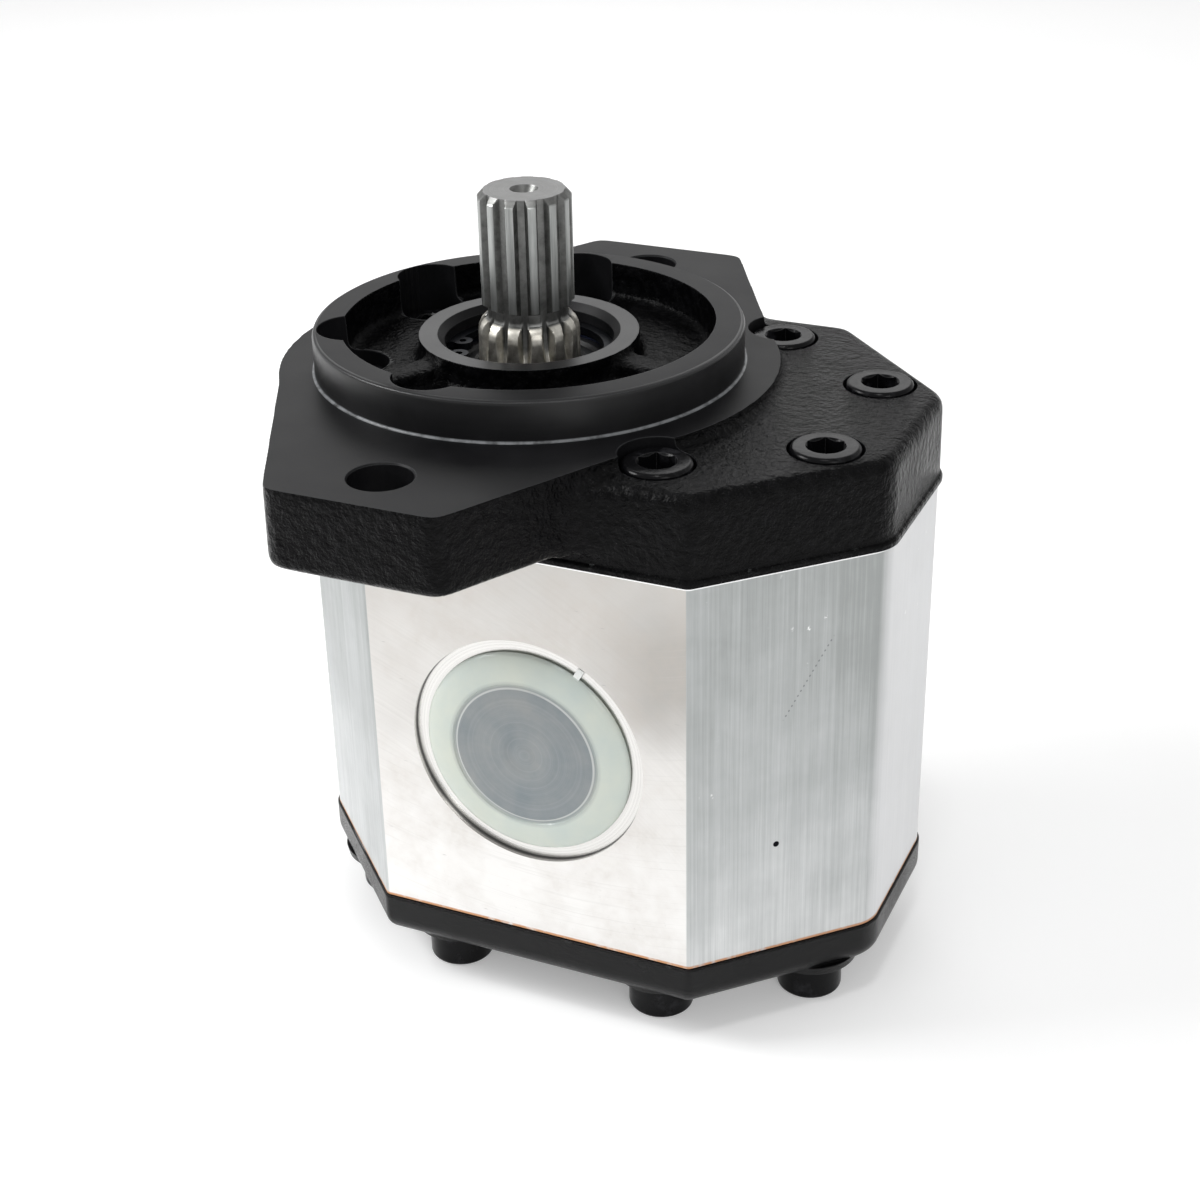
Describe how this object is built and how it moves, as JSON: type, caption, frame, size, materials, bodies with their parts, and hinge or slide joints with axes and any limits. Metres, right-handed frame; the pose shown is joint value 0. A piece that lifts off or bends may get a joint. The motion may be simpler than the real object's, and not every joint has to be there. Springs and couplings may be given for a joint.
{
  "type": "hydraulic gear pump",
  "caption": "External gear pump with a two-bolt pilot flange, splined drive shaft, octagonal aluminium gear body between cast covers and plugged side ports.",
  "frame": {"origin": "centre of the mounting face, on the drive shaft axis, midway between the two mounting holes", "axes": "+Z out of the pump along the drive shaft, +X from the drive shaft to the driven gear, +Y towards the outlet port, so the inlet port faces -Y"},
  "size_m": [0.1561, 0.175, 0.1873],
  "materials": {
    "front_cover": "black paint over cast iron, machined pilot and pad",
    "rear_cover": "satin black paint over cast iron",
    "gear_body": "extruded aluminium with milled port faces",
    "drive_gear_shaft": "ground and hobbed case-hardened steel",
    "driven_gear_shaft": "ground and hobbed case-hardened steel",
    "bearing_block": "machined aluminium alloy",
    "bush": "steel-backed bush with a lined bronze bore",
    "seal_case": "pressed sheet steel",
    "seal_rubber": "black nitrile rubber",
    "spring": "coiled spring wire",
    "retaining_ring": "phosphated spring steel",
    "backup": "machined nylon strip",
    "dowel": "ground steel",
    "screw": "black oxide steel",
    "plug": "milky translucent polyethylene"
  },
  "bodies": {
    "housing": {"front_cover": "front_cover", "gear_body": "gear_body", "rear_cover": "rear_cover", "front_bearing_block": "bearing_block", "rear_bearing_block": "bearing_block", "front_drive_bush": "bush", "front_driven_bush": "bush", "rear_drive_bush": "bush", "rear_driven_bush": "bush", "shaft_seal_case": "seal_case", "shaft_seal_lip": "seal_rubber", "seal_garter_spring": "spring", "seal_retaining_ring": "retaining_ring", "front_body_seal": "seal_rubber", "rear_body_seal": "seal_rubber", "front_pressure_seal": "seal_rubber", "rear_pressure_seal": "seal_rubber", "front_seal_backup": "backup", "rear_seal_backup": "backup", "front_dowels": "dowel", "rear_dowels": "dowel", "front_screws_outer": "screw", "front_screws_inner": "screw", "rear_screws": "screw"},
    "drive_gear": {"drive_gear_shaft": "drive_gear_shaft"},
    "driven_gear": {"driven_gear_shaft": "driven_gear_shaft"},
    "inlet_plug": {"inlet_port_plug": "plug"},
    "outlet_plug": {"outlet_port_plug": "plug"}
  },
  "joints": [
    {"name": "drive_spin", "type": "hinge", "parent": "housing", "child": "drive_gear", "pos_m": [0, 0, 0], "axis": [0, 0, 1], "continuous": true},
    {"name": "driven_spin", "type": "hinge", "parent": "housing", "child": "driven_gear", "pos_m": [0.0438, 0, 0], "axis": [0, 0, 1], "continuous": true},
    {"name": "inlet_plug_pull", "type": "slide", "parent": "housing", "child": "inlet_plug", "axis": [0, -1, 0], "range_m": [0, 0.03]},
    {"name": "outlet_plug_pull", "type": "slide", "parent": "housing", "child": "outlet_plug", "axis": [0, 1, 0], "range_m": [0, 0.03]}
  ],
  "couplings": [
    {"joint": "driven_spin", "follows": "drive_spin", "ratio": -1}
  ]
}
